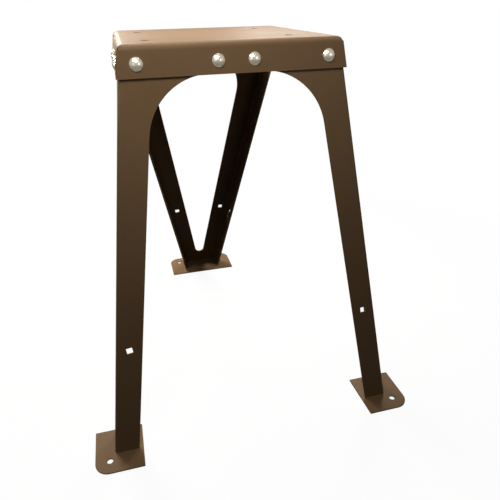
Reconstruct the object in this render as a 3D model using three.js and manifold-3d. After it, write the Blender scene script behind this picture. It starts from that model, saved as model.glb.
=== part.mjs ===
// Bench grinder stand: a folded sheet steel pan on three folded sheet legs, bolted together.
// Millimetres and degrees. +Z is up, the front faces -Y, and the floor is at height 0.

import * as THREE from "three";
import { mergeVertices } from "three/addons/utils/BufferGeometryUtils.js";
import Module from "manifold-3d";

const wasm = await Module();
wasm.setup();

const rad = THREE.MathUtils.degToRad;

// The sheet and the clearance that every pair of touching pieces keeps
const sheet = 3;
const gap = 0.3;

// Top pan. Its width and depth are taken at the top face, where the flanges' outer faces would meet it.
const standHeight = 711;
const panWidth = 358.5;
const panDepth = 380;
const flangeDrop = 48;
const frontSplay = rad(8.65); // front and side flanges, out from upright
const rearSplay = rad(18.3);
const seamWidth = 0.8; // open joint between two flanges at a corner
const panBend = 9; // radius on the inside of the pan's folds
const reliefRadius = 1.8; // round relief where two folds meet

// Holes in the pan for the grinder's base
const grinderHole = 14.3;
const grinderAcross = 241;
const grinderBack = 221;
const grinderOffsetX = -13.5;
const grinderOffsetY = -19.5;

// Front legs. Widths are of one flange, level across its face.
const legTopWidth = 49.5;
const legFootWidth = 45.5;
const legBend = 2; // radius on the inside of the leg's fold
const legTopDrop = 12.5; // the legs' top edge below the top face
const gussetSpacing = 16; // between the two gussets, at the middle of the pan's front
const gussetReach = (panWidth - gussetSpacing) / 2; // from the pan's corner along either flange
const gussetRise = 1; // gusset's lower edge above the pan flange's lower edge
const gussetCorner = 6;
const archShoulder = 67; // what the arch leaves of the gusset's reach
const archRadius = gussetReach - archShoulder;

// Rear leg. Half widths are to the outer face of its folded edge.
const rearTopHalf = panWidth / 2 + 2.75;
const rearFootHalf = 49;
const rearArmTop = 59;
const rearArmFoot = 46;
const rearBend = 6; // radius on the inside of its folded edges
const rearFlange = 51;
const rearFlangeStop = 40; // the folded edge ends this far below the top face
const rearShoulderHalf = rearTopHalf - 14; // half width above the folded edges, inside the pan
const rearArchShoulder = 33; // what the arch leaves of the opening's half width
const rearArchRadius = rearTopHalf - rearArmTop - rearArchShoulder;
const notchRadius = 12.5;

// Square holes for a shelf, in both flanges of every leg. The rear ones sit a little higher.
const shelfHole = 11;
const shelfHeight = 213;
const rearShelfHeight = 216.3;
const shelfHoleTurn = rad(7);

// Foot plates
const footSheet = 3;
const footHole = 11.5;
const footCorner = 27;
const footSideOverhang = 37;
const footFrontOverhang = 42;
const footInnerMargin = 8;
const footBackMargin = 14;
const rearFootOverhang = 27;
const rearFootMargin = 20;
const rearFootSide = 45;

// Bolted joints
const boltDrop = 28.3; // down the flange from the top face
const boltNear = 25; // from the pan's corner along the flange
const boltEdge = 21; // from the gusset's end to its bolt
const boltFar = gussetReach - boltEdge;
const boltDiameter = 9.5;
const boltLength = 22;
const boltHead = 20.6;
const boltHeadHeight = 5.2;
const boltHeadRim = 0.8;
const boltChamfer = 1;
const neckSize = 9.6;
const neckLength = 5.6;
const neckHole = neckSize + 2 * gap;
const washerOuter = 17.3;
const washerThick = 2.4;
const washerSlit = 1.2;
const nutFlats = 14.3;
const nutThick = 8.3;
const nutBore = boltDiameter + 2 * gap;

// How finely curves are cut into facets: steps per quarter turn or so
const bendSteps = 4;
const archSteps = 12;
const roundSteps = 20;

// Long enough to pass right through the stand
const through = 4 * standHeight;

const brownPaint = { color: 0x5e4a35, roughness: 0.42, metalness: 0 };
const brightZinc = { color: 0xd6d8dc, roughness: 0.22, metalness: 1 };

function solid(geometry) {
  const bare = geometry.clone();
  bare.deleteAttribute("normal");
  bare.deleteAttribute("uv");
  const welded = mergeVertices(bare, 1e-4);
  const mesh = new wasm.Mesh({
    numProp: 3,
    vertProperties: welded.attributes.position.array,
    triVerts: new Uint32Array(welded.index.array),
  });
  return new wasm.Manifold(mesh);
}

function geometryOf(body) {
  const mesh = body.getMesh();
  const geometry = new THREE.BufferGeometry();
  geometry.setAttribute("position", new THREE.BufferAttribute(mesh.vertProperties, 3));
  geometry.setIndex(new THREE.BufferAttribute(mesh.triVerts, 1));
  const faceted = geometry.toNonIndexed();
  faceted.computeVertexNormals();
  return faceted;
}

function piece(name, geometry, finish) {
  const mesh = new THREE.Mesh(geometry, new THREE.MeshStandardMaterial(finish));
  mesh.name = name;
  return mesh;
}

function extrude(shape, depth, curveSegments) {
  return new THREE.ExtrudeGeometry(shape, { depth, curveSegments, bevelEnabled: false });
}

// A closed outline through corners given as [x, y] or [x, y, radius], in either direction.
function outline(listed) {
  const points = listed.map(([x, y]) => new THREE.Vector2(x, y));
  const corners = THREE.ShapeUtils.isClockWise(points) ? [...listed].reverse() : listed;
  const shape = new THREE.Shape();
  corners.forEach(([x, y, radius = 0], i) => {
    const corner = new THREE.Vector2(x, y);
    if (radius === 0) {
      if (i === 0) shape.moveTo(x, y);
      else shape.lineTo(x, y);
      return;
    }
    const before = corners[(i + corners.length - 1) % corners.length];
    const after = corners[(i + 1) % corners.length];
    const back = new THREE.Vector2(before[0], before[1]).sub(corner).normalize();
    const ahead = new THREE.Vector2(after[0], after[1]).sub(corner).normalize();
    const half = Math.acos(back.dot(ahead)) / 2;
    const start = corner.clone().addScaledVector(back, radius / Math.tan(half));
    const end = corner.clone().addScaledVector(ahead, radius / Math.tan(half));
    const middle = back.clone().add(ahead).normalize();
    const centre = corner.clone().addScaledVector(middle, radius / Math.sin(half));
    const from = start.clone().sub(centre).angle();
    const to = end.clone().sub(centre).angle();
    if (i === 0) shape.moveTo(start.x, start.y);
    else shape.lineTo(start.x, start.y);
    shape.absarc(centre.x, centre.y, radius, from, to, back.cross(ahead) > 0);
  });
  shape.closePath();
  return shape;
}

// Section of a sheet folded once. One side lies along +x, the other at the given angle to it,
// and the outer faces meet at the origin.
function foldSection(angle, bend, firstSide, secondSide) {
  const outer = bend + sheet;
  const run = outer / Math.tan(angle / 2);
  const along = new THREE.Vector2(Math.cos(angle), Math.sin(angle));
  const inward = new THREE.Vector2(Math.sin(angle), -Math.cos(angle)).multiplyScalar(sheet);
  const end = along.clone().multiplyScalar(secondSide);
  const shape = new THREE.Shape();
  shape.moveTo(firstSide, sheet);
  shape.lineTo(firstSide, 0);
  shape.absarc(run, outer, outer, 1.5 * Math.PI, angle + 0.5 * Math.PI, true);
  shape.lineTo(end.x, end.y);
  shape.lineTo(end.x + inward.x, end.y + inward.y);
  shape.absarc(run, outer, bend, angle + 0.5 * Math.PI, 1.5 * Math.PI, false);
  shape.closePath();
  return shape;
}

// The plane of a pan flange: x along it, y up it and z out of its outer face,
// starting from the top face. turn goes round the stand from the front.
function flangeFrame(turn, reach, splay) {
  const frame = new THREE.Matrix4().makeRotationZ(turn);
  frame.multiply(new THREE.Matrix4().makeTranslation(0, -reach, standHeight));
  frame.multiply(new THREE.Matrix4().makeRotationX(Math.PI / 2 - splay));
  return frame;
}

// A square hole's cutter through both sheets of a flange.
function squareCutter(frame, size, x, y, turn) {
  const box = new THREE.BoxGeometry(size, size, 6 * sheet);
  box.rotateZ(turn);
  box.translate(x, y, -(sheet + gap));
  return solid(box.applyMatrix4(frame));
}

// Outline across the pan with every face moved in by inset: a level top, two folds and two splayed sides.
function panSection(reach, leftSplay, rightSplay, lower, inset) {
  const outer = panBend + sheet;
  const foldMiddle = (splay) => reach + outer * Math.tan(splay) - outer / Math.cos(splay);
  const lowerEdge = (splay) => reach + (standHeight - lower) * Math.tan(splay) - inset / Math.cos(splay);
  const shape = new THREE.Shape();
  shape.moveTo(-lowerEdge(leftSplay), lower);
  shape.lineTo(lowerEdge(rightSplay), lower);
  const height = standHeight - outer;
  shape.absarc(foldMiddle(rightSplay), height, outer - inset, rightSplay, Math.PI / 2, false);
  shape.absarc(-foldMiddle(leftSplay), height, outer - inset, Math.PI / 2, Math.PI - leftSplay, false);
  shape.closePath();
  return shape;
}

// The pan's form as a block: the outer faces, or the hollow when inset by the sheet.
function panBlock(lower, inset) {
  const acrossShape = panSection(panWidth / 2, frontSplay, frontSplay, lower, inset);
  const across = extrude(acrossShape, through, bendSteps);
  across.rotateX(Math.PI / 2).translate(0, through / 2, 0);
  const alongShape = panSection(panDepth / 2, frontSplay, rearSplay, lower, inset);
  const along = extrude(alongShape, through, bendSteps);
  along.rotateX(Math.PI / 2).rotateZ(Math.PI / 2).translate(-through / 2, 0, 0);
  return solid(across).intersect(solid(along));
}

// The slit between two flanges, in the plane of their mitre, below the relief.
function seamCutter(sideX, sideY, splayY) {
  const up = new THREE.Vector3(-sideX * Math.tan(frontSplay), -sideY * Math.tan(splayY), 1).normalize();
  const out = new THREE.Vector3(sideX / Math.cos(frontSplay), sideY / Math.cos(splayY), 0);
  const across = out.clone().cross(up).normalize();
  const box = new THREE.BoxGeometry(seamWidth, 6 * sheet, 2 * flangeDrop);
  box.translate(0, 0, -flangeDrop - panBend);
  const place = new THREE.Matrix4().makeBasis(across, up.clone().cross(across), up);
  place.setPosition(sideX * panWidth / 2, sideY * panDepth / 2, standHeight);
  return solid(box.applyMatrix4(place));
}

function uprightCutter(radius, x, y, z, height) {
  const cylinder = new THREE.CylinderGeometry(radius, radius, height, roundSteps);
  return solid(cylinder.rotateX(Math.PI / 2).translate(x, y, z));
}

// The four flanges: name, turn round the stand, reach from the middle, splay and the bolts along it
const acrossBolts = [boltNear - panWidth / 2, boltFar - panWidth / 2];
const frontBolts = [...acrossBolts, ...acrossBolts.map((x) => -x).reverse()];
const sideBolts = [panDepth / 2 - boltNear, panDepth / 2 - boltFar];
const flanges = [
  { name: "front", turn: 0, reach: panDepth / 2, splay: frontSplay, bolts: frontBolts },
  { name: "left", turn: -Math.PI / 2, reach: panWidth / 2, splay: frontSplay, bolts: sideBolts },
  { name: "right", turn: Math.PI / 2, reach: panWidth / 2, splay: frontSplay, bolts: sideBolts.map((y) => -y) },
  { name: "rear", turn: Math.PI, reach: panDepth / 2, splay: rearSplay, bolts: frontBolts },
];

function panGeometry() {
  const lower = standHeight - flangeDrop;
  let pan = panBlock(lower, 0).subtract(panBlock(lower - sheet, sheet));
  for (const sideX of [-1, 1]) {
    for (const [sideY, splayY] of [[-1, frontSplay], [1, rearSplay]]) {
      pan = pan.subtract(seamCutter(sideX, sideY, splayY));
      const reliefX = sideX * (panWidth / 2 - reliefRadius / 2);
      const reliefY = sideY * (panDepth / 2 - reliefRadius / 2);
      const reliefHeight = 2 * (panBend + reliefRadius);
      pan = pan.subtract(uprightCutter(reliefRadius, reliefX, reliefY, standHeight, reliefHeight));
      const holeX = grinderOffsetX + sideX * grinderAcross / 2;
      const holeY = grinderOffsetY + sideY * grinderBack / 2;
      pan = pan.subtract(uprightCutter(grinderHole / 2, holeX, holeY, standHeight, 4 * sheet));
    }
  }
  for (const flange of flanges) {
    const frame = flangeFrame(flange.turn, flange.reach, flange.splay);
    for (const x of flange.bolts) {
      pan = pan.subtract(squareCutter(frame, neckHole, x, -boltDrop, 0));
    }
  }
  return geometryOf(pan);
}

// A leg lies one sheet and one gap inside the pan's flange.
const nest = sheet + gap;
const footTop = footSheet + gap;

// How far the front legs' outer faces lie outside the pan's corner, at a height
function legReach(height) {
  return (standHeight - height) * Math.tan(frontSplay) - nest / Math.cos(frontSplay);
}

// The inner edge of a front leg's flange, from the pan's corner, at a height
function legInnerEdge(height) {
  const width = THREE.MathUtils.lerp(legFootWidth, legTopWidth, height / standHeight);
  return width - legReach(height);
}

// A front leg in the frame of the pan's front left corner, with the front along +x and the side along +y.
// The folded sheet runs down the corner's line and is cut to the same outline on both flanges.
function frontLegGeometry() {
  const slope = Math.tan(frontSplay);
  const up = new THREE.Vector3(slope, slope, 1).normalize();
  const frontNormal = new THREE.Vector3(0, -Math.cos(frontSplay), Math.sin(frontSplay));
  const front = up.clone().cross(frontNormal).normalize();
  const place = new THREE.Matrix4().makeBasis(front, up.clone().cross(front), up);
  const foldAngle = Math.PI - Math.acos(Math.sin(frontSplay) ** 2);
  const section = foldSection(foldAngle, legBend, 2 * gussetReach, 2 * gussetReach);
  const folded = extrude(section, through, bendSteps).translate(0, 0, -through / 2);
  const inset = nest / Math.cos(frontSplay);
  place.setPosition(inset, inset, standHeight);
  let leg = solid(folded.applyMatrix4(place));

  const gussetLow = standHeight - flangeDrop + gussetRise;
  const top = standHeight - legTopDrop;
  const outside = -2 * legReach(0);
  const face = outline([
    [legInnerEdge(footTop), footTop],
    [legInnerEdge(gussetLow), gussetLow, archRadius],
    [gussetReach, gussetLow, gussetCorner],
    [gussetReach, top, gussetCorner],
    [outside, top],
    [outside, footTop],
  ]);
  const frontCut = extrude(face, through, archSteps);
  frontCut.rotateX(Math.PI / 2).translate(0, through / 2, 0);
  const mirrored = outline([...face.getPoints(archSteps)].map((p) => [-p.x, p.y]));
  const sideCut = extrude(mirrored, through, archSteps);
  sideCut.rotateX(Math.PI / 2).translate(0, through / 2, 0).rotateZ(-Math.PI / 2);
  leg = leg.intersect(solid(frontCut)).intersect(solid(sideCut));

  const shelfDrop = (standHeight - shelfHeight) / Math.cos(frontSplay);
  const shelfX = (legInnerEdge(shelfHeight) - legReach(shelfHeight)) / 2;
  for (const [turn, sign] of [[0, 1], [-Math.PI / 2, -1]]) {
    const frame = flangeFrame(turn, 0, frontSplay);
    leg = leg.subtract(squareCutter(frame, neckHole, sign * boltNear, -boltDrop, 0));
    leg = leg.subtract(squareCutter(frame, neckHole, sign * boltFar, -boltDrop, 0));
    leg = leg.subtract(squareCutter(frame, shelfHole, sign * shelfX, -shelfDrop, shelfHoleTurn));
  }
  return geometryOf(leg);
}

// The rear leg, drawn flat in its own plane: x across, y up the slope from the top face's height,
// z out of the outer face.
const slopeLength = (drop) => drop / Math.cos(rearSplay);
const rearPlace = flangeFrame(Math.PI, panDepth / 2, rearSplay).multiply(
  new THREE.Matrix4().makeTranslation(0, 0, -nest),
);

// Half width of the V at a drop below the top face, between its top and foot values
function taper(top, foot, drop) {
  return THREE.MathUtils.lerp(top, foot, drop / standHeight);
}

function rearLegGeometry() {
  const armLean = Math.atan((rearTopHalf - rearFootHalf) / slopeLength(standHeight));
  const lowest = standHeight + rearFlange;
  const stop = rearFlangeStop;
  const outerEdge = (drop) => taper(rearTopHalf, rearFootHalf, drop);
  const innerEdge = (drop) => outerEdge(drop) - taper(rearArmTop, rearArmFoot, drop);

  // The web stops just past the fold, where the folded edge takes over.
  const foldInset = (rearBend + 2 * sheet) / Math.cos(armLean);
  const top = -slopeLength(legTopDrop);
  const half = [
    [outerEdge(lowest) - foldInset, -slopeLength(lowest)],
    [outerEdge(stop) - foldInset, -slopeLength(stop)],
    [rearShoulderHalf, -slopeLength(stop) + sheet],
    [rearShoulderHalf, top, gussetCorner],
  ];
  const otherHalf = half.map(([x, y, radius]) => [-x, y, radius]).reverse();
  const web = extrude(outline([...half, ...otherHalf]), sheet, archSteps).translate(0, 0, -sheet);

  const archDrop = flangeDrop - gussetRise;
  const innerRate = (innerEdge(0) - innerEdge(standHeight)) / standHeight;
  const apexDrop = standHeight + innerEdge(standHeight) / innerRate;
  const opening = outline([
    [0, -slopeLength(apexDrop), notchRadius],
    [innerEdge(archDrop), -slopeLength(archDrop), rearArchRadius],
    [-innerEdge(archDrop), -slopeLength(archDrop), rearArchRadius],
  ]);
  const openingCut = extrude(opening, 6 * sheet, archSteps).translate(0, 0, -3 * sheet);

  const inward = new THREE.Vector3(-Math.cos(armLean), Math.sin(armLean), 0);
  const down = new THREE.Vector3(-Math.sin(armLean), -Math.cos(armLean), 0);
  const edgePlace = new THREE.Matrix4().makeBasis(inward, new THREE.Vector3(0, 0, -1), down);
  edgePlace.setPosition(outerEdge(stop), -slopeLength(stop), 0);
  const edgeLength = slopeLength(lowest - stop) / Math.cos(armLean);
  const edgeSection = foldSection(Math.PI / 2, rearBend, rearBend + 3 * sheet, rearFlange);
  const edge = solid(extrude(edgeSection, edgeLength, bendSteps).applyMatrix4(edgePlace));
  let leg = solid(web).add(edge).add(edge.mirror([1, 0, 0])).subtract(solid(openingCut));

  const below = new THREE.BoxGeometry(through, through, through);
  below.translate(0, 0, footTop - through / 2).applyMatrix4(rearPlace.clone().invert());
  leg = leg.subtract(solid(below));

  const flat = new THREE.Matrix4();
  for (const x of frontBolts) {
    leg = leg.subtract(squareCutter(flat, neckHole, x, -boltDrop, 0));
  }
  const shelfDrop = standHeight - rearShelfHeight;
  const shelfX = (outerEdge(shelfDrop) + innerEdge(shelfDrop)) / 2;
  const webHole = squareCutter(flat, shelfHole, shelfX, -slopeLength(shelfDrop), -armLean);
  const edgeHoleBox = new THREE.BoxGeometry(6 * sheet, shelfHole, shelfHole);
  edgeHoleBox.rotateZ(-armLean);
  edgeHoleBox.translate(outerEdge(shelfDrop), -slopeLength(shelfDrop), -(rearFlange + rearBend) / 2);
  const shelfHoles = webHole.add(solid(edgeHoleBox));
  return geometryOf(leg.subtract(shelfHoles).subtract(shelfHoles.mirror([1, 0, 0])));
}

function roundHole(x, y) {
  return new THREE.Path().absarc(x, y, footHole / 2, 0, 2 * Math.PI, true);
}

// A front foot plate seen from above. side is -1 for the left and 1 for the right.
const footOuter = panWidth / 2 + legReach(footTop) + footSideOverhang;
const footInner = panWidth / 2 + legReach(footTop) - legFootWidth - footInnerMargin;
const footFront = -(panDepth / 2 + legReach(footTop) + footFrontOverhang);
const footBack = -(panDepth / 2 + legReach(footTop) - legFootWidth - footBackMargin);
function frontFootGeometry(side) {
  const plate = outline([
    [side * footInner, footFront],
    [side * footOuter, footFront, footCorner],
    [side * footOuter, footBack],
    [side * footInner, footBack],
  ]);
  plate.holes.push(roundHole(side * (footOuter - footCorner), footFront + footCorner));
  return extrude(plate, footSheet, archSteps / 2);
}

// Where the rear leg's outer face meets its foot plate
const rearFaceAtFoot =
  panDepth / 2 + (standHeight - footTop) * Math.tan(rearSplay) - nest / Math.cos(rearSplay);
const rearFootBack = rearFaceAtFoot + rearFootOverhang;
const rearFootFront = rearFaceAtFoot - rearFlange / Math.cos(rearSplay) - rearFootMargin;
function rearFootGeometry() {
  const half = rearFootHalf + rearFootSide;
  const plate = outline([
    [-half, rearFootFront],
    [half, rearFootFront],
    [half, rearFootBack, footCorner],
    [-half, rearFootBack, footCorner],
  ]);
  plate.holes.push(roundHole(half - footCorner, rearFootBack - footCorner));
  plate.holes.push(roundHole(footCorner - half, rearFootBack - footCorner));
  return extrude(plate, footSheet, archSteps / 2);
}

// A revolved solid about the bolt's axis, from [radius, height] points. Heights are out of the pan's face.
function revolve(points) {
  const profile = points.map(([radius, height]) => new THREE.Vector2(radius, height));
  return new THREE.LatheGeometry(profile, roundSteps).rotateX(Math.PI / 2);
}

function boltGeometry() {
  const head = boltHead / 2;
  const crown = boltHeadHeight - boltHeadRim;
  const domeRadius = (head * head + crown * crown) / (2 * crown);
  const spread = Math.asin(head / domeRadius);
  const domeSteps = 5;
  const dome = [];
  for (let i = 0; i <= domeSteps; i++) {
    const angle = spread * (1 - i / domeSteps);
    const height = gap + boltHeadHeight - domeRadius * (1 - Math.cos(angle));
    dome.push([i === domeSteps ? 0 : domeRadius * Math.sin(angle), height]);
  }
  const shank = boltDiameter / 2;
  const tip = gap - boltLength;
  const body = revolve([
    [0, tip],
    [shank - boltChamfer, tip],
    [shank, tip + boltChamfer],
    [shank, gap],
    [head, gap],
    ...dome,
  ]);
  const neck = new THREE.BoxGeometry(neckSize, neckSize, neckLength + boltHeadRim);
  neck.translate(0, 0, gap + boltHeadRim - (neckLength + boltHeadRim) / 2);
  return geometryOf(solid(body).add(solid(neck)));
}

// The washer and the nut sit inside, behind both sheets.
const washerTop = -(nest + sheet + gap);
const nutTop = washerTop - washerThick - gap;

function washerGeometry() {
  const inner = nutBore / 2;
  const outer = washerOuter / 2;
  const low = washerTop - washerThick;
  const ring = revolve([[inner, low], [outer, low], [outer, washerTop], [inner, washerTop], [inner, low]]);
  const slit = new THREE.BoxGeometry(washerSlit, washerOuter, 3 * washerThick);
  slit.rotateY(rad(20)).translate(0, washerOuter / 2, washerTop - washerThick / 2);
  return geometryOf(solid(ring).subtract(solid(slit)));
}

function nutGeometry() {
  const corner = nutFlats / Math.sqrt(3);
  const hexagon = outline([0, 1, 2, 3, 4, 5].map((i) => {
    const angle = i * Math.PI / 3;
    return [corner * Math.cos(angle), corner * Math.sin(angle)];
  }));
  hexagon.holes.push(new THREE.Path().absarc(0, 0, nutBore / 2, 0, 2 * Math.PI, true));
  const prism = extrude(hexagon, nutThick, roundSteps / 2).translate(0, 0, nutTop - nutThick);
  const flat = nutFlats / 2;
  const bevel = (corner - flat) * Math.tan(rad(30));
  const turned = revolve([
    [0, nutTop - nutThick],
    [flat, nutTop - nutThick],
    [corner, nutTop - nutThick + bevel],
    [corner, nutTop - bevel],
    [flat, nutTop],
    [0, nutTop],
  ]);
  return geometryOf(solid(prism).intersect(solid(turned)));
}

const stand = new THREE.Group();
stand.name = "bench_grinder_stand";

stand.add(piece("top_pan", panGeometry(), brownPaint));

const legGeometry = frontLegGeometry();
const leftLeg = piece("front_left_leg", legGeometry, brownPaint);
leftLeg.position.set(-panWidth / 2, -panDepth / 2, 0);
const rightLeg = piece("front_right_leg", legGeometry, brownPaint);
rightLeg.position.set(panWidth / 2, -panDepth / 2, 0);
rightLeg.rotation.z = Math.PI / 2;
const rearLeg = piece("rear_leg", rearLegGeometry(), brownPaint);
rearLeg.applyMatrix4(rearPlace);
stand.add(leftLeg, rightLeg, rearLeg);

stand.add(piece("front_left_foot", frontFootGeometry(-1), brownPaint));
stand.add(piece("front_right_foot", frontFootGeometry(1), brownPaint));
stand.add(piece("rear_foot", rearFootGeometry(), brownPaint));

const boltShape = boltGeometry();
const washerShape = washerGeometry();
const nutShape = nutGeometry();
for (const flange of flanges) {
  const side = new THREE.Group();
  side.applyMatrix4(flangeFrame(flange.turn, flange.reach, flange.splay));
  flange.bolts.forEach((x, i) => {
    const joint = new THREE.Group();
    joint.position.set(x, -boltDrop, 0);
    joint.add(piece(`${flange.name}_bolt_${i + 1}`, boltShape, brightZinc));
    joint.add(piece(`${flange.name}_washer_${i + 1}`, washerShape, brightZinc));
    joint.add(piece(`${flange.name}_nut_${i + 1}`, nutShape, brightZinc));
    side.add(joint);
  });
  stand.add(side);
}

// The origin is on the floor under the middle of the whole stand.
stand.position.y = -(footFront + rearFootBack) / 2;

const part = new THREE.Group();
part.add(stand);

export default part;
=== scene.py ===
import math

import bpy
from mathutils import Matrix, Vector


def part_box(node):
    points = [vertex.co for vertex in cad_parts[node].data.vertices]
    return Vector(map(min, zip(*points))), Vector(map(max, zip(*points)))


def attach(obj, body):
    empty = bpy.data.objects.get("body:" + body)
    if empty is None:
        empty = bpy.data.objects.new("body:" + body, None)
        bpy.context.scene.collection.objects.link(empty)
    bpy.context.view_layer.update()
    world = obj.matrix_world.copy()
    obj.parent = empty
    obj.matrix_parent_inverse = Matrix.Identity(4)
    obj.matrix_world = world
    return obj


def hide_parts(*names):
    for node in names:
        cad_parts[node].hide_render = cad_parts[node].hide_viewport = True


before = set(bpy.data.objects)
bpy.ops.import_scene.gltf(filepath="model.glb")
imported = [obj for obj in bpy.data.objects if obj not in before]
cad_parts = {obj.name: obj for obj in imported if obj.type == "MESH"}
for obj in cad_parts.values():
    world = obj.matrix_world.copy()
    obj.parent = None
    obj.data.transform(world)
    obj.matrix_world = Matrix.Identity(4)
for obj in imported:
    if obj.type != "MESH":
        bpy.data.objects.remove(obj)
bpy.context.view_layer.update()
scene = bpy.context.scene
scene.view_settings.view_transform = "Standard"
print("stand loaded with", len(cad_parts), "solids")


# how far the flanges and legs lean out from upright
standLean = {"front": math.radians(8.65), "rear": math.radians(18.3)}
mergeDistance = 0.00001


# small helpers for nodes and selections

def addNode(tree, kind, x, y, **values):
    node = tree.nodes.new(kind)
    node.location = (x, y)
    for key, value in values.items():
        setattr(node, key, value)
    return node


def newGroup(name, inputs, outputs):
    group = bpy.data.node_groups.new(name, "ShaderNodeTree")
    for label, kind, value in inputs:
        socket = group.interface.new_socket(label, in_out="INPUT", socket_type=kind)
        socket.default_value = value
    for label, kind in outputs:
        group.interface.new_socket(label, in_out="OUTPUT", socket_type=kind)
    return group, addNode(group, "NodeGroupInput", -900, 0), addNode(group, "NodeGroupOutput", 700, 0)


def placeGroup(tree, group, x, y, values):
    node = addNode(tree, "ShaderNodeGroup", x, y)
    node.node_tree = group
    for label, value in values.items():
        node.inputs[label].default_value = value
    return node


def newMaterial(name):
    material = bpy.data.materials.new(name)
    material.use_nodes = True
    tree = material.node_tree
    tree.nodes.clear()
    output = addNode(tree, "ShaderNodeOutputMaterial", 600, 0)
    shader = addNode(tree, "ShaderNodeBsdfPrincipled", 300, 0)
    tree.links.new(shader.outputs["BSDF"], output.inputs["Surface"])
    return material, tree, shader


def clearSelection():
    if bpy.context.mode != "OBJECT":
        bpy.ops.object.mode_set(mode="OBJECT")
    bpy.ops.object.select_all(action="DESELECT")


def pickOnly(piece):
    clearSelection()
    piece.select_set(True)
    bpy.context.view_layer.objects.active = piece


def nameStarted(name):
    piece = bpy.context.active_object
    piece.name = name
    piece.data.name = name
    return piece


def applyModifier(piece, kind, **values):
    pickOnly(piece)
    modifier = piece.modifiers.new(kind.lower(), kind)
    for key, value in values.items():
        setattr(modifier, key, value)
    bpy.ops.object.modifier_apply(modifier=modifier.name)


def smoothBelow(piece, degrees):
    pickOnly(piece)
    bpy.ops.object.shade_smooth_by_angle(angle=math.radians(degrees))


def tidyNormals(piece):
    pickOnly(piece)
    bpy.ops.object.mode_set(mode="EDIT")
    bpy.ops.mesh.select_all(action="SELECT")
    bpy.ops.mesh.remove_doubles(threshold=mergeDistance)
    bpy.ops.mesh.normals_make_consistent(inside=False)
    bpy.ops.object.mode_set(mode="OBJECT")


def copyPiece(piece, name, place):
    twin = bpy.data.objects.new(name, piece.data.copy())
    twin.data.name = name
    twin.data.transform(place)
    scene.collection.objects.link(twin)
    return twin


def dressPiece(piece, material, slotName, *nodes):
    piece.data.materials.clear()
    piece.data.materials.append(material)
    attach(piece, "root")
    if nodes:
        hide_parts(*nodes)


# camera, at the place and angle of the photograph

viewPoint = {
    "place": (-0.1855, -1.0282, 0.7673),
    "yaw": 14.45,
    "pitch": 27.7,
    "roll": -1.13,
    "lens": 34.54,
}


def makeCamera(v):
    yaw, pitch, roll = (math.radians(v[key]) for key in ("yaw", "pitch", "roll"))
    levelRight = Vector((math.cos(yaw), -math.sin(yaw), 0))
    ahead = Vector((math.sin(yaw), math.cos(yaw), 0))
    forward = math.cos(pitch) * ahead - math.sin(pitch) * Vector((0, 0, 1))
    levelUp = levelRight.cross(forward)
    right = math.cos(roll) * levelRight + math.sin(roll) * levelUp
    up = math.cos(roll) * levelUp - math.sin(roll) * levelRight
    data = bpy.data.cameras.new("photoCamera")
    data.sensor_width = 36
    data.lens = v["lens"]
    data.clip_start = 0.01
    camera = bpy.data.objects.new("photoCamera", data)
    turn = Matrix((right, up, -forward)).transposed().to_4x4()
    camera.matrix_world = Matrix.Translation(v["place"]) @ turn
    scene.collection.objects.link(camera)
    scene.camera = camera


makeCamera(viewPoint)
print("camera set")


# floor, world and soft lights

studio = {
    "floorSize": 12.0,
    "floorDrop": 0.0004,
    "floorPale": (0.9, 0.9, 0.9, 1),
    "floorDark": (0.03, 0.028, 0.026, 1),
    "floorNear": (0.5, 0.93),
    "floorFar": (1.3, 1.0),
    "floorInGloss": 0.28,
    "roomLight": (0.02, 0.0197, 0.0193, 1),
    "roomInGloss": 0.5,
}

warmWhite = (1.0, 0.98, 0.93)
plainWhite = (1.0, 1.0, 1.0)

softboxes = [
    {
        "name": "backLeftSoftbox", "place": (-0.5, 1.0, 1.3), "aim": (0, 0, 0.4),
        "size": (0.7, 0.6), "spread": 180, "watts": 26, "tint": warmWhite,
    },
    {
        "name": "backRightSoftbox", "place": (0.6, 0.95, 1.3), "aim": (0, 0, 0.4),
        "size": (0.7, 0.6), "spread": 180, "watts": 8, "tint": warmWhite,
    },
    {
        "name": "panSoftbox", "place": (-0.03, -0.05, 1.08), "aim": (-0.03, -0.05, 0.7),
        "size": (0.45, 0.15), "spread": 180, "watts": 3.3, "tint": warmWhite,
    },
    {
        "name": "frontStrip", "place": (-0.21, -0.62, 1.2), "aim": (-0.02, -0.3, 0.3),
        "size": (0.5, 0.25), "spread": 180, "watts": 4.7, "tint": plainWhite,
    },
    {
        "name": "frontLeftSoftbox", "place": (-0.54, -0.91, 0.87), "aim": (0, -0.25, 0.69),
        "size": (0.26, 0.4), "spread": 32, "watts": 0.022, "tint": plainWhite,
    },
    {
        "name": "frontRightSoftbox", "place": (0.48, -0.93, 0.88), "aim": (0, -0.25, 0.69),
        "size": (0.7, 0.4), "spread": 36, "watts": 0.075, "tint": plainWhite,
    },
    {
        "name": "lowRightSoftbox", "place": (0.8, 0.75, 0.66), "aim": (0.2, 0.0, 0.0),
        "size": (0.3, 0.3), "spread": 70, "watts": 1.5, "tint": warmWhite,
    },
    {
        "name": "lowLeftSoftbox", "place": (-0.55, 0.95, 0.5), "aim": (-0.05, 0.36, 0.0),
        "size": (0.2, 0.2), "spread": 30, "watts": 0.24, "tint": warmWhite,
    },
    {
        "name": "leftSoftbox", "place": (-0.95, 0.0, 0.71), "aim": (-0.19, -0.02, 0.7),
        "size": (0.3, 0.06), "spread": 24, "watts": 0.45, "tint": warmWhite,
    },
]


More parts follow.
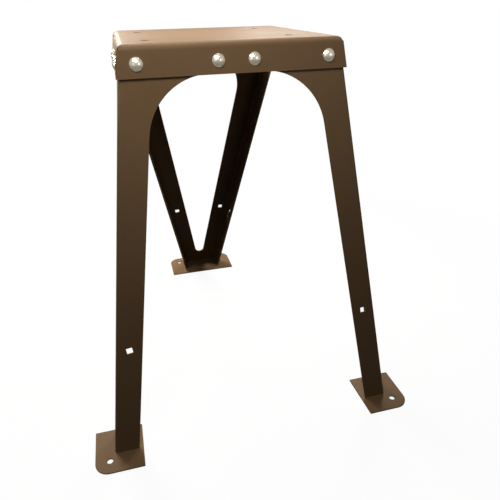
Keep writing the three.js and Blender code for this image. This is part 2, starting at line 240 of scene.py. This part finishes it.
def floorMaterial(v):
    material = bpy.data.materials.new("studioFloor")
    material.use_nodes = True
    tree = material.node_tree
    tree.nodes.clear()
    output = addNode(tree, "ShaderNodeOutputMaterial", 600, 0)
    blend = addNode(tree, "ShaderNodeMixShader", 400, 0)
    matte = addNode(tree, "ShaderNodeBsdfDiffuse", 150, -150)
    glow = addNode(tree, "ShaderNodeEmission", 150, -300)
    path = addNode(tree, "ShaderNodeLightPath", -500, 200)
    tint = addNode(tree, "ShaderNodeMix", -100, -150, data_type="RGBA")
    tint.inputs["A"].default_value = v["floorDark"]
    tint.inputs["B"].default_value = v["floorPale"]
    seen = addNode(tree, "ShaderNodeMath", -200, 250, operation="MAXIMUM")
    # white as seen, a little less near the stand so that its shadow shows
    place = addNode(tree, "ShaderNodeTexCoord", -700, 450)
    away = addNode(tree, "ShaderNodeVectorMath", -450, 450, operation="LENGTH")
    fade = addNode(tree, "ShaderNodeMapRange", -200, 450)
    fade.inputs["From Min"].default_value, fade.inputs["To Min"].default_value = v["floorNear"]
    fade.inputs["From Max"].default_value, fade.inputs["To Max"].default_value = v["floorFar"]
    seenWhite = addNode(tree, "ShaderNodeMath", 0, 250, operation="MULTIPLY")
    gloss = addNode(tree, "ShaderNodeMath", 0, 80, operation="MULTIPLY")
    gloss.inputs[1].default_value = v["floorInGloss"]
    share = addNode(tree, "ShaderNodeMath", 200, 200, operation="MAXIMUM")
    link = tree.links.new
    link(path.outputs["Is Camera Ray"], seen.inputs[0])
    link(path.outputs["Is Transmission Ray"], seen.inputs[1])
    link(place.outputs["Object"], away.inputs[0])
    link(away.outputs["Value"], fade.inputs["Value"])
    link(seen.outputs[0], seenWhite.inputs[0])
    link(fade.outputs["Result"], seenWhite.inputs[1])
    link(path.outputs["Is Glossy Ray"], gloss.inputs[0])
    link(seenWhite.outputs[0], share.inputs[0])
    link(gloss.outputs[0], share.inputs[1])
    link(path.outputs["Is Camera Ray"], tint.inputs["Factor"])
    link(tint.outputs["Result"], matte.inputs["Color"])
    link(share.outputs[0], blend.inputs["Fac"])
    link(matte.outputs["BSDF"], blend.inputs[1])
    link(glow.outputs["Emission"], blend.inputs[2])
    link(blend.outputs["Shader"], output.inputs["Surface"])
    return material


def makeFloor(v):
    clearSelection()
    bpy.ops.mesh.primitive_plane_add(size=v["floorSize"], location=(0, 0, -v["floorDrop"]))
    floor = nameStarted("studioFloor")
    floor.data.materials.append(floorMaterial(v))


def makeWorld(v):
    world = bpy.data.worlds.new("studioRoom")
    world.use_nodes = True
    scene.world = world
    tree = world.node_tree
    tree.nodes.clear()
    output = addNode(tree, "ShaderNodeOutputWorld", 500, 0)
    blend = addNode(tree, "ShaderNodeMixShader", 300, 0)
    room = addNode(tree, "ShaderNodeBackground", 50, -80)
    room.inputs["Color"].default_value = v["roomLight"]
    white = addNode(tree, "ShaderNodeBackground", 50, -220)
    white.inputs["Color"].default_value = (1, 1, 1, 1)
    path = addNode(tree, "ShaderNodeLightPath", -450, 200)
    seen = addNode(tree, "ShaderNodeMath", -200, 250, operation="MAXIMUM")
    gloss = addNode(tree, "ShaderNodeMath", -200, 60, operation="MULTIPLY")
    gloss.inputs[1].default_value = v["roomInGloss"]
    share = addNode(tree, "ShaderNodeMath", 50, 150, operation="MAXIMUM")
    link = tree.links.new
    link(path.outputs["Is Camera Ray"], seen.inputs[0])
    link(path.outputs["Is Transmission Ray"], seen.inputs[1])
    link(path.outputs["Is Glossy Ray"], gloss.inputs[0])
    link(seen.outputs[0], share.inputs[0])
    link(gloss.outputs[0], share.inputs[1])
    link(share.outputs[0], blend.inputs["Fac"])
    link(room.outputs["Background"], blend.inputs[1])
    link(white.outputs["Background"], blend.inputs[2])
    link(blend.outputs["Shader"], output.inputs["Surface"])


def makeSoftbox(v):
    data = bpy.data.lights.new(v["name"], "AREA")
    data.shape = "RECTANGLE"
    data.size, data.size_y = v["size"]
    data.spread = math.radians(v["spread"])
    data.energy = v["watts"]
    data.color = v["tint"]
    light = bpy.data.objects.new(v["name"], data)
    light.visible_camera = False
    aim = Vector(v["aim"]) - Vector(v["place"])
    turn = aim.to_track_quat("-Z", "Y").to_matrix().to_4x4()
    light.matrix_world = Matrix.Translation(v["place"]) @ turn
    scene.collection.objects.link(light)


makeFloor(studio)
makeWorld(studio)
for softbox in softboxes:
    makeSoftbox(softbox)
print("floor, room and", len(softboxes), "softboxes set")


# node groups that the finishes share

def paintSkinGroup():
    group, given, result = newGroup(
        "paintSkin",
        [
            ("Peel Scale", "NodeSocketFloat", 700),
            ("Cloud Scale", "NodeSocketFloat", 9),
        ],
        [("Peel", "NodeSocketFloat"), ("Cloud", "NodeSocketFloat"), ("Speck", "NodeSocketFloat")],
    )
    link = group.links.new
    place = addNode(group, "ShaderNodeTexCoord", -900, -250)
    peel = addNode(group, "ShaderNodeTexNoise", -500, 250)
    peel.inputs["Detail"].default_value = 2
    cloud = addNode(group, "ShaderNodeTexNoise", -500, 0)
    cloud.inputs["Detail"].default_value = 4
    cloud.inputs["Roughness"].default_value = 0.55
    dots = addNode(group, "ShaderNodeTexVoronoi", -500, -300)
    dots.inputs["Scale"].default_value = 160
    few = addNode(group, "ShaderNodeMapRange", -200, -300)
    few.inputs["From Min"].default_value = 0.1
    few.inputs["From Max"].default_value = 0.05
    for node in (peel, cloud, dots):
        link(place.outputs["Object"], node.inputs["Vector"])
    link(given.outputs["Peel Scale"], peel.inputs["Scale"])
    link(given.outputs["Cloud Scale"], cloud.inputs["Scale"])
    link(dots.outputs["Distance"], few.inputs["Value"])
    link(peel.outputs["Fac"], result.inputs["Peel"])
    link(cloud.outputs["Fac"], result.inputs["Cloud"])
    link(few.outputs["Result"], result.inputs["Speck"])
    return group


def edgeHighlightGroup():
    # mask for a painted highlight: a lighter colour along broken stretches of the edges, where the
    # rounded normal turns from the face's
    group, given, result = newGroup(
        "edgeHighlight",
        [("Reach", "NodeSocketFloat", 0.0012), ("Break Scale", "NodeSocketFloat", 240)],
        [("Edge", "NodeSocketFloat")],
    )
    link = group.links.new
    rounded = addNode(group, "ShaderNodeBevel", -600, 150, samples=6)
    facing = addNode(group, "ShaderNodeNewGeometry", -600, -50)
    agree = addNode(group, "ShaderNodeVectorMath", -350, 100, operation="DOT_PRODUCT")
    turned = addNode(group, "ShaderNodeMapRange", -150, 100)
    turned.inputs["From Min"].default_value = 0.995
    turned.inputs["From Max"].default_value = 0.8
    place = addNode(group, "ShaderNodeTexCoord", -900, -300)
    patches = addNode(group, "ShaderNodeTexNoise", -600, -300)
    patches.inputs["Detail"].default_value = 3
    broken = addNode(group, "ShaderNodeMapRange", -350, -300)
    broken.inputs["From Min"].default_value = 0.4
    broken.inputs["From Max"].default_value = 0.65
    both = addNode(group, "ShaderNodeMath", 100, 0, operation="MULTIPLY")
    link(given.outputs["Reach"], rounded.inputs["Radius"])
    link(rounded.outputs["Normal"], agree.inputs[0])
    link(facing.outputs["Normal"], agree.inputs[1])
    link(agree.outputs["Value"], turned.inputs["Value"])
    link(place.outputs["Object"], patches.inputs["Vector"])
    link(given.outputs["Break Scale"], patches.inputs["Scale"])
    link(patches.outputs["Fac"], broken.inputs["Value"])
    link(turned.outputs["Result"], both.inputs[0])
    link(broken.outputs["Result"], both.inputs[1])
    link(both.outputs[0], result.inputs["Edge"])
    return group


def fineScuffGroup():
    # hair scratches and soft smudges of handled metal
    group, given, result = newGroup(
        "fineScuff",
        [("Scratch Scale", "NodeSocketFloat", 500), ("Smudge Scale", "NodeSocketFloat", 120)],
        [("Scratch", "NodeSocketFloat"), ("Smudge", "NodeSocketFloat")],
    )
    link = group.links.new
    place = addNode(group, "ShaderNodeTexCoord", -900, -250)
    drawn = addNode(group, "ShaderNodeMapping", -700, 200)
    drawn.inputs["Rotation"].default_value = (0.5, 0.9, 0.4)
    drawn.inputs["Scale"].default_value = (1, 0.12, 1)
    scratch = addNode(group, "ShaderNodeTexNoise", -450, 200)
    scratch.inputs["Detail"].default_value = 5
    smudge = addNode(group, "ShaderNodeTexNoise", -450, -150)
    smudge.inputs["Detail"].default_value = 3
    link(place.outputs["Object"], drawn.inputs["Vector"])
    link(drawn.outputs["Vector"], scratch.inputs["Vector"])
    link(place.outputs["Object"], smudge.inputs["Vector"])
    link(given.outputs["Scratch Scale"], scratch.inputs["Scale"])
    link(given.outputs["Smudge Scale"], smudge.inputs["Scale"])
    link(scratch.outputs["Fac"], result.inputs["Scratch"])
    link(smudge.outputs["Fac"], result.inputs["Smudge"])
    return group


paintSkin = paintSkinGroup()
edgeHighlight = edgeHighlightGroup()
fineScuff = fineScuffGroup()


# finishes

brownPaintLook = {
    "deep": (0.150, 0.088, 0.043, 1),
    "pale": (0.176, 0.106, 0.054, 1),
    # edge: a painted highlight, a lighter brown laid along the edges by the edge mask
    "edge": (0.27, 0.185, 0.115, 1),
    "speck": (0.11, 0.064, 0.032, 1),
    "roughLow": 0.36,
    "roughHigh": 0.46,
    "specular": 0.045,
    "peelScale": 900,
    "peelDepth": 0.00002,
    "fleckShare": 0.25,
    "edgeShare": 0.3,
}

beadPaintLook = dict(
    brownPaintLook, roughLow=0.42, roughHigh=0.55,
    peelScale=1500, peelDepth=0.00004, edgeShare=0.15,
)


def mixColours(tree, x, y, first, second):
    node = addNode(tree, "ShaderNodeMix", x, y, data_type="RGBA")
    if first is not None:
        node.inputs["A"].default_value = first
    if second is not None:
        node.inputs["B"].default_value = second
    return node


def paintMaterial(name, v):
    material, tree, shader = newMaterial(name)
    link = tree.links.new
    skin = placeGroup(tree, paintSkin, -700, 100, {"Peel Scale": v["peelScale"]})
    # painted highlight: the edge mask lightens the paint colour along the edges
    edge = placeGroup(tree, edgeHighlight, -700, -200, {})
    body = mixColours(tree, -400, 250, v["deep"], v["pale"])
    flecked = mixColours(tree, -200, 250, None, v["speck"])
    fleck = addNode(tree, "ShaderNodeMath", -400, 60, operation="MULTIPLY")
    fleck.inputs[1].default_value = v["fleckShare"]
    edged = mixColours(tree, 50, 250, None, v["edge"])
    edgeShare = addNode(tree, "ShaderNodeMath", -200, -60, operation="MULTIPLY")
    edgeShare.inputs[1].default_value = v["edgeShare"]
    rough = addNode(tree, "ShaderNodeMapRange", -200, -220)
    rough.inputs["From Min"].default_value = 0.3
    rough.inputs["From Max"].default_value = 0.7
    rough.inputs["To Min"].default_value = v["roughLow"]
    rough.inputs["To Max"].default_value = v["roughHigh"]
    bump = addNode(tree, "ShaderNodeBump", 50, -350)
    bump.inputs["Strength"].default_value = 1
    bump.inputs["Distance"].default_value = v["peelDepth"]
    link(skin.outputs["Cloud"], body.inputs["Factor"])
    link(body.outputs["Result"], flecked.inputs["A"])
    link(skin.outputs["Speck"], fleck.inputs[0])
    link(fleck.outputs[0], flecked.inputs["Factor"])
    link(flecked.outputs["Result"], edged.inputs["A"])
    link(edge.outputs["Edge"], edgeShare.inputs[0])
    link(edgeShare.outputs[0], edged.inputs["Factor"])
    link(edged.outputs["Result"], shader.inputs["Base Color"])
    link(skin.outputs["Cloud"], rough.inputs["Value"])
    link(rough.outputs["Result"], shader.inputs["Roughness"])
    link(skin.outputs["Peel"], bump.inputs["Height"])
    link(bump.outputs["Normal"], shader.inputs["Normal"])
    shader.inputs["Specular IOR Level"].default_value = v["specular"]
    return material


boltZincLook = {
    "clean": (0.93, 0.85, 0.68, 1),
    "dull": (0.72, 0.65, 0.51, 1),
    # edge: a painted highlight, a whiter tone laid along the edges by the edge mask
    "edge": (0.9, 0.89, 0.87, 1),
    "roughLow": 0.16,
    "roughHigh": 0.34,
    "scratchScale": 900,
    "scratchDepth": 0.00001,
    "smudgeScale": 330,
    "dentDepth": 0.00035,
    "edgeReach": 0.0006,
    "edgeBreak": 700,
    "edgeShare": 0.5,
}

nutZincLook = dict(
    boltZincLook, clean=(0.70, 0.69, 0.66, 1), dull=(0.52, 0.51, 0.47, 1),
    roughLow=0.24, roughHigh=0.45,
)


def zincMaterial(name, v):
    material, tree, shader = newMaterial(name)
    link = tree.links.new
    scales = {"Scratch Scale": v["scratchScale"], "Smudge Scale": v["smudgeScale"]}
    scuff = placeGroup(tree, fineScuff, -700, 100, scales)
    # painted highlight: the edge mask whitens the zinc colour along the edges
    edgeSizes = {"Reach": v["edgeReach"], "Break Scale": v["edgeBreak"]}
    edge = placeGroup(tree, edgeHighlight, -700, -200, edgeSizes)
    body = mixColours(tree, -400, 250, v["clean"], v["dull"])
    edged = mixColours(tree, 50, 250, None, v["edge"])
    edgeShare = addNode(tree, "ShaderNodeMath", -200, -60, operation="MULTIPLY")
    edgeShare.inputs[1].default_value = v["edgeShare"]
    dull = addNode(tree, "ShaderNodeMapRange", -550, 300)
    dull.inputs["From Min"].default_value = 0.35
    dull.inputs["From Max"].default_value = 0.7
    rough = addNode(tree, "ShaderNodeMapRange", -200, -220)
    rough.inputs["From Min"].default_value = 0.3
    rough.inputs["From Max"].default_value = 0.7
    rough.inputs["To Min"].default_value = v["roughLow"]
    rough.inputs["To Max"].default_value = v["roughHigh"]
    dents = addNode(tree, "ShaderNodeBump", -200, -480)
    dents.inputs["Strength"].default_value = 1
    dents.inputs["Distance"].default_value = v["dentDepth"]
    bump = addNode(tree, "ShaderNodeBump", 50, -350)
    bump.inputs["Strength"].default_value = 1
    bump.inputs["Distance"].default_value = v["scratchDepth"]
    link(scuff.outputs["Smudge"], dull.inputs["Value"])
    link(dull.outputs["Result"], body.inputs["Factor"])
    link(body.outputs["Result"], edged.inputs["A"])
    link(edge.outputs["Edge"], edgeShare.inputs[0])
    link(edgeShare.outputs[0], edged.inputs["Factor"])
    link(edged.outputs["Result"], shader.inputs["Base Color"])
    link(scuff.outputs["Smudge"], rough.inputs["Value"])
    link(rough.outputs["Result"], shader.inputs["Roughness"])
    link(scuff.outputs["Smudge"], dents.inputs["Height"])
    link(dents.outputs["Normal"], bump.inputs["Normal"])
    link(scuff.outputs["Scratch"], bump.inputs["Height"])
    link(bump.outputs["Normal"], shader.inputs["Normal"])
    shader.inputs["Metallic"].default_value = 1
    return material


brownPaint = paintMaterial("brownPaint", brownPaintLook)
beadPaint = paintMaterial("beadPaint", beadPaintLook)
boltZinc = zincMaterial("boltZinc", boltZincLook)
nutZinc = zincMaterial("nutZinc", nutZincLook)
print("paint and zinc ready")


# folded sheets and foot plates, with the sharp edges of their solids broken

sheetEdges = {
    "flatWithin": 0.3,
    "edgeAngle": 35,
    "breakWidth": 0.0006,
    "breakSteps": 2,
    "smoothAngle": 32,
}

sheetPieces = {
    "top_pan": "foldedTopPan",
    "front_left_leg": "foldedLegLeft",
    "front_right_leg": "foldedLegRight",
    "rear_leg": "foldedRearLeg",
    "front_left_foot": "footPlateLeft",
    "front_right_foot": "footPlateRight",
    "rear_foot": "footPlateRear",
}


def breakEdges(nodeName, pieceName, v):
    piece = bpy.data.objects.new(pieceName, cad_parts[nodeName].data.copy())
    piece.data.name = pieceName
    scene.collection.objects.link(piece)
    pickOnly(piece)
    bpy.ops.mesh.customdata_custom_splitnormals_clear()
    bpy.ops.object.mode_set(mode="EDIT")
    bpy.ops.mesh.select_all(action="SELECT")
    bpy.ops.mesh.remove_doubles(threshold=mergeDistance)
    bpy.ops.mesh.dissolve_limited(angle_limit=math.radians(v["flatWithin"]))
    bpy.ops.object.mode_set(mode="OBJECT")
    applyModifier(
        piece, "BEVEL", width=v["breakWidth"], segments=v["breakSteps"],
        limit_method="ANGLE", angle_limit=math.radians(v["edgeAngle"]), use_clamp_overlap=True,
    )
    applyModifier(piece, "TRIANGULATE", quad_method="BEAUTY", ngon_method="BEAUTY")
    smoothBelow(piece, v["smoothAngle"])
    applyModifier(piece, "WEIGHTED_NORMAL", keep_sharp=True)
    return piece


for nodeName, pieceName in sheetPieces.items():
    sheet = breakEdges(nodeName, pieceName, sheetEdges)
    dressPiece(sheet, brownPaint, "brown_paint", nodeName)
print("sheets made:", len(sheetPieces))


# carriage bolts: domed head, square neck and a threaded shank

boltShape = {
    "sides": 48,
    "seat": 0.0003,
    "headRadius": 0.0103,
    "headRim": 0.0008,
    "rimRound": 0.97,
    "rimCorner": 0.3,
    "headHeight": 0.0052,
    "domeSteps": 9,
    "neckSize": 0.0096,
    "neckLength": 0.0056,
    "neckRound": 0.0005,
    "coreRadius": 0.0041,
    "length": 0.022,
    "tipChamfer": 0.0009,
    "threadRadius": 0.00474,
    "threadRoot": 0.0004,
    "threadWidth": 0.92,
    "threadStart": 0.4,
    "pitch": 0.0016,
    "threadTurns": 9,
    "threadSteps": 28,
    "smoothAngle": 35,
}

boltRows = {
    "drop": 0.0283,
    "flangeDrop": 0.048,
    "panWidth": 0.3585,
    "panDepth": 0.38,
    "near": 0.025,
    "far": 0.15025,
}


def turnRings(profile, sides):
    # a disc is drawn out and resized ring by ring up its axis
    clearSelection()
    radius, height = profile[0]
    bpy.ops.mesh.primitive_circle_add(
        vertices=sides, radius=radius, fill_type="NGON", location=(0, 0, height),
    )
    piece = bpy.context.active_object
    bpy.ops.object.transform_apply(location=True, rotation=True, scale=True)
    bpy.ops.object.mode_set(mode="EDIT")
    bpy.ops.mesh.select_all(action="SELECT")
    for nextRadius, nextHeight in profile[1:]:
        bpy.ops.mesh.extrude_region_move(TRANSFORM_OT_translate={"value": (0, 0, nextHeight - height)})
        ratio = nextRadius / radius
        bpy.ops.transform.resize(value=(ratio, ratio, 1), center_override=(0, 0, nextHeight))
        radius, height = nextRadius, nextHeight
    bpy.ops.object.mode_set(mode="OBJECT")
    return piece


def joinPieces(first, *others):
    pickOnly(first)
    for other in others:
        other.select_set(True)
    bpy.ops.object.join()
    return first


def makeBoltHead(v):
    # part of a ball on a low rim
    crown = v["headHeight"] - v["headRim"]
    domeRadius = (v["headRadius"] ** 2 + crown ** 2) / (2 * crown)
    spread = math.asin(v["headRadius"] / domeRadius)
    top = v["seat"] + v["headHeight"]
    profile = [
        (v["headRadius"] * v["rimRound"], v["seat"]),
        (v["headRadius"], v["seat"] + v["rimCorner"] * v["headRim"]),
        (v["headRadius"], v["seat"] + v["headRim"]),
    ]
    for step in range(1, v["domeSteps"] + 1):
        angle = spread * (1 - step / (v["domeSteps"] + 0.5))
        profile.append((domeRadius * math.sin(angle), top - domeRadius * (1 - math.cos(angle))))
    head = turnRings(profile, v["sides"])
    tidyNormals(head)
    return head


def makeBoltNeck(v):
    # square under the head, with the shank starting inside it
    clearSelection()
    middle = v["seat"] - v["neckLength"] / 2
    bpy.ops.mesh.primitive_cube_add(size=1, location=(0, 0, middle))
    neck = bpy.context.active_object
    neck.scale = (v["neckSize"], v["neckSize"], v["neckLength"])
    bpy.ops.object.transform_apply(location=True, rotation=True, scale=True)
    applyModifier(neck, "BEVEL", width=v["neckRound"], segments=2, limit_method="ANGLE")
    return neck


def makeBoltShank(v, tip):
    shank = turnRings(
        [
            (v["coreRadius"] - v["tipChamfer"], tip),
            (v["coreRadius"], tip + v["tipChamfer"]),
            (v["coreRadius"], v["seat"] - v["neckLength"] / 2),
        ],
        v["sides"],
    )
    tidyNormals(shank)
    return shank


def makeBoltThread(v, tip):
    # one three-sided section, drawn 1.5 radii deep and pointing out, is wound up the shank
    clearSelection()
    size = v["threadWidth"] * v["pitch"] / math.sqrt(3)
    depth = v["threadRadius"] - v["coreRadius"] + v["threadRoot"]
    low = tip + v["tipChamfer"] + v["threadStart"] * v["pitch"]
    bpy.ops.mesh.primitive_circle_add(
        vertices=3, radius=size, fill_type="NOTHING", rotation=(math.pi / 2, math.pi / 2, 0),
    )
    thread = bpy.context.active_object
    bpy.ops.object.transform_apply(location=True, rotation=True, scale=True)
    bpy.ops.object.mode_set(mode="EDIT")
    bpy.ops.mesh.select_all(action="SELECT")
    bpy.ops.transform.resize(value=(depth / (1.5 * size), 1, 1), center_override=(0, 0, 0))
    bpy.ops.transform.translate(value=(v["threadRadius"] - depth * 2 / 3, 0, low))
    bpy.ops.object.mode_set(mode="OBJECT")
    applyModifier(
        thread, "SCREW", axis="Z", angle=2 * math.pi, screw_offset=v["pitch"],
        iterations=v["threadTurns"], steps=v["threadSteps"], render_steps=v["threadSteps"],
        use_merge_vertices=False,
    )
    pickOnly(thread)
    bpy.ops.object.mode_set(mode="EDIT")
    bpy.ops.mesh.select_all(action="SELECT")
    bpy.ops.mesh.fill_holes(sides=3)
    bpy.ops.object.mode_set(mode="OBJECT")
    tidyNormals(thread)
    return thread


def makeBolt(v):
    tip = v["seat"] - v["length"]
    head = makeBoltHead(v)
    neck = makeBoltNeck(v)
    shank = makeBoltShank(v, tip)
    thread = makeBoltThread(v, tip)
    bolt = joinPieces(head, neck, shank, thread)
    smoothBelow(bolt, v["smoothAngle"])
    return nameStarted("boltPattern")


def flangePlaces(v):
    # each bolt's place, with its axis straight out of the pan's flange
    low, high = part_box("top_pan")
    front, rear = standLean["front"], standLean["rear"]
    middle = (low[1] + high[1]) / 2 - v["flangeDrop"] * (math.tan(rear) - math.tan(front)) / 2
    halfWidth, halfDepth = v["panWidth"] / 2, v["panDepth"] / 2
    across = [v["near"] - halfWidth, v["far"] - halfWidth, halfWidth - v["far"], halfWidth - v["near"]]
    side = [halfDepth - v["near"], halfDepth - v["far"]]
    rows = [
        ("front", 0, halfDepth, front, across),
        ("left", -90, halfWidth, front, side),
        ("right", 90, halfWidth, front, [-x for x in side]),
        ("rear", 180, halfDepth, rear, across),
    ]
    places = {}
    for name, turn, reach, splay, spots in rows:
        flange = Matrix.Translation((0, middle, 0)) @ Matrix.Rotation(math.radians(turn), 4, "Z")
        flange = flange @ Matrix.Translation((0, -reach, high[2]))
        flange = flange @ Matrix.Rotation(math.pi / 2 - splay, 4, "X")
        for number, x in enumerate(spots, 1):
            places[name, number] = flange @ Matrix.Translation((x, -v["drop"], 0))
    return places


boltPlaces = flangePlaces(boltRows)
boltPattern = makeBolt(boltShape)
for (row, number), place in boltPlaces.items():
    spin = Matrix.Rotation(math.radians(90 * (number % 4)), 4, "Z")
    bolt = copyPiece(boltPattern, f"{row}CarriageBolt{number}", place @ spin)
    dressPiece(bolt, boltZinc, "bright_zinc", f"{row}_bolt_{number}")
bpy.data.objects.remove(boltPattern)
print("carriage bolts made:", len(boltPlaces))


# lock washers and hex nuts behind the sheets

nutEdges = dict(sheetEdges, breakWidth=0.0002, smoothAngle=28)

for row, number in boltPlaces:
    for kind, title in (("washer", "LockWasher"), ("nut", "HexNut")):
        nodeName = f"{row}_{kind}_{number}"
        fastener = breakEdges(nodeName, f"{row}{title}{number}", nutEdges)
        dressPiece(fastener, nutZinc, "bright_zinc", nodeName)
print("washers and nuts made:", 2 * len(boltPlaces))


# stitch welds on the inner faces, where the legs stand on their foot plates

weldShape = {
    "sides": 14,
    "radius": 0.0023,
    "length": 0.024,
    "ripple": 0.0011,
    "rippleDepth": 0.1,
    "endRound": (0.3, 0.72),
    "endStep": 0.3,
    "lag": 0.35,
    "sink": 0.0006,
    "smoothAngle": 50,
}

weldSpots = {
    "sheet": 0.003,
    "plate": 0.003,
    "frontAlong": 0.026,
    "rearAlong": 0.022,
    "rearInnerHalf": 0.046,
    "rearFlangeAlong": 0.03,
}


def makeBead(v):
    # a disc is drawn out ring by ring, swelling and pinching at each ripple
    count = round(v["length"] / v["ripple"])
    tip, shoulder = (v["radius"] * share for share in v["endRound"])
    endStep = v["ripple"] * v["endStep"]
    profile = [(tip, 0), (shoulder, endStep)]
    for step in range(1, count):
        middle = step * v["ripple"]
        profile.append((v["radius"], middle))
        profile.append((v["radius"] * (1 - v["rippleDepth"]), middle + v["ripple"] / 2))
    end = count * v["ripple"]
    profile += [(shoulder, end), (tip, end + endStep)]
    bead = turnRings(profile, v["sides"])
    bead.data.transform(Matrix.Translation((0, 0, -end / 2)))
    bead.data.transform(Matrix.Rotation(math.radians(90), 4, "Y"))
    for vertex in bead.data.vertices:
        # each ripple trails behind at its sides
        x, y, z = vertex.co
        vertex.co.x = x - v["lag"] * ((y ** 2 + z ** 2) / v["radius"] - z)
    tidyNormals(bead)
    smoothBelow(bead, v["smoothAngle"])
    return nameStarted("beadPattern")


def beadPlaces(v, sink):
    front = v["sheet"] / math.cos(standLean["front"]) + sink
    rear = v["sheet"] / math.cos(standLean["rear"]) + sink
    height = v["plate"] + sink
    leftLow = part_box("front_left_leg")[0]
    rightLow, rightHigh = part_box("front_right_leg")
    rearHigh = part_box("rear_leg")[1]
    spots = {
        "frontLeftBeadFront": (leftLow[0] + v["frontAlong"], leftLow[1] + front, 0),
        "frontLeftBeadSide": (leftLow[0] + front, leftLow[1] + v["frontAlong"], 90),
        "frontRightBeadFront": (rightHigh[0] - v["frontAlong"], rightLow[1] + front, 0),
        "frontRightBeadSide": (rightHigh[0] - front, rightLow[1] + v["frontAlong"], 90),
        "rearBeadLeft": (-v["rearAlong"], rearHigh[1] - rear, 0),
        "rearBeadRight": (v["rearAlong"], rearHigh[1] - rear, 0),
        "rearBeadLeftFlange": (-v["rearInnerHalf"] + sink, rearHigh[1] - v["rearFlangeAlong"], 90),
        "rearBeadRightFlange": (v["rearInnerHalf"] - sink, rearHigh[1] - v["rearFlangeAlong"], 90),
    }
    return {
        name: Matrix.Translation((x, y, height)) @ Matrix.Rotation(math.radians(turn), 4, "Z")
        for name, (x, y, turn) in spots.items()
    }


beadPattern = makeBead(weldShape)
welds = beadPlaces(weldSpots, weldShape["sink"])
for name, place in welds.items():
    dressPiece(copyPiece(beadPattern, name, place), beadPaint, "brown_paint")
bpy.data.objects.remove(beadPattern)
print("stitch welds made:", len(welds))
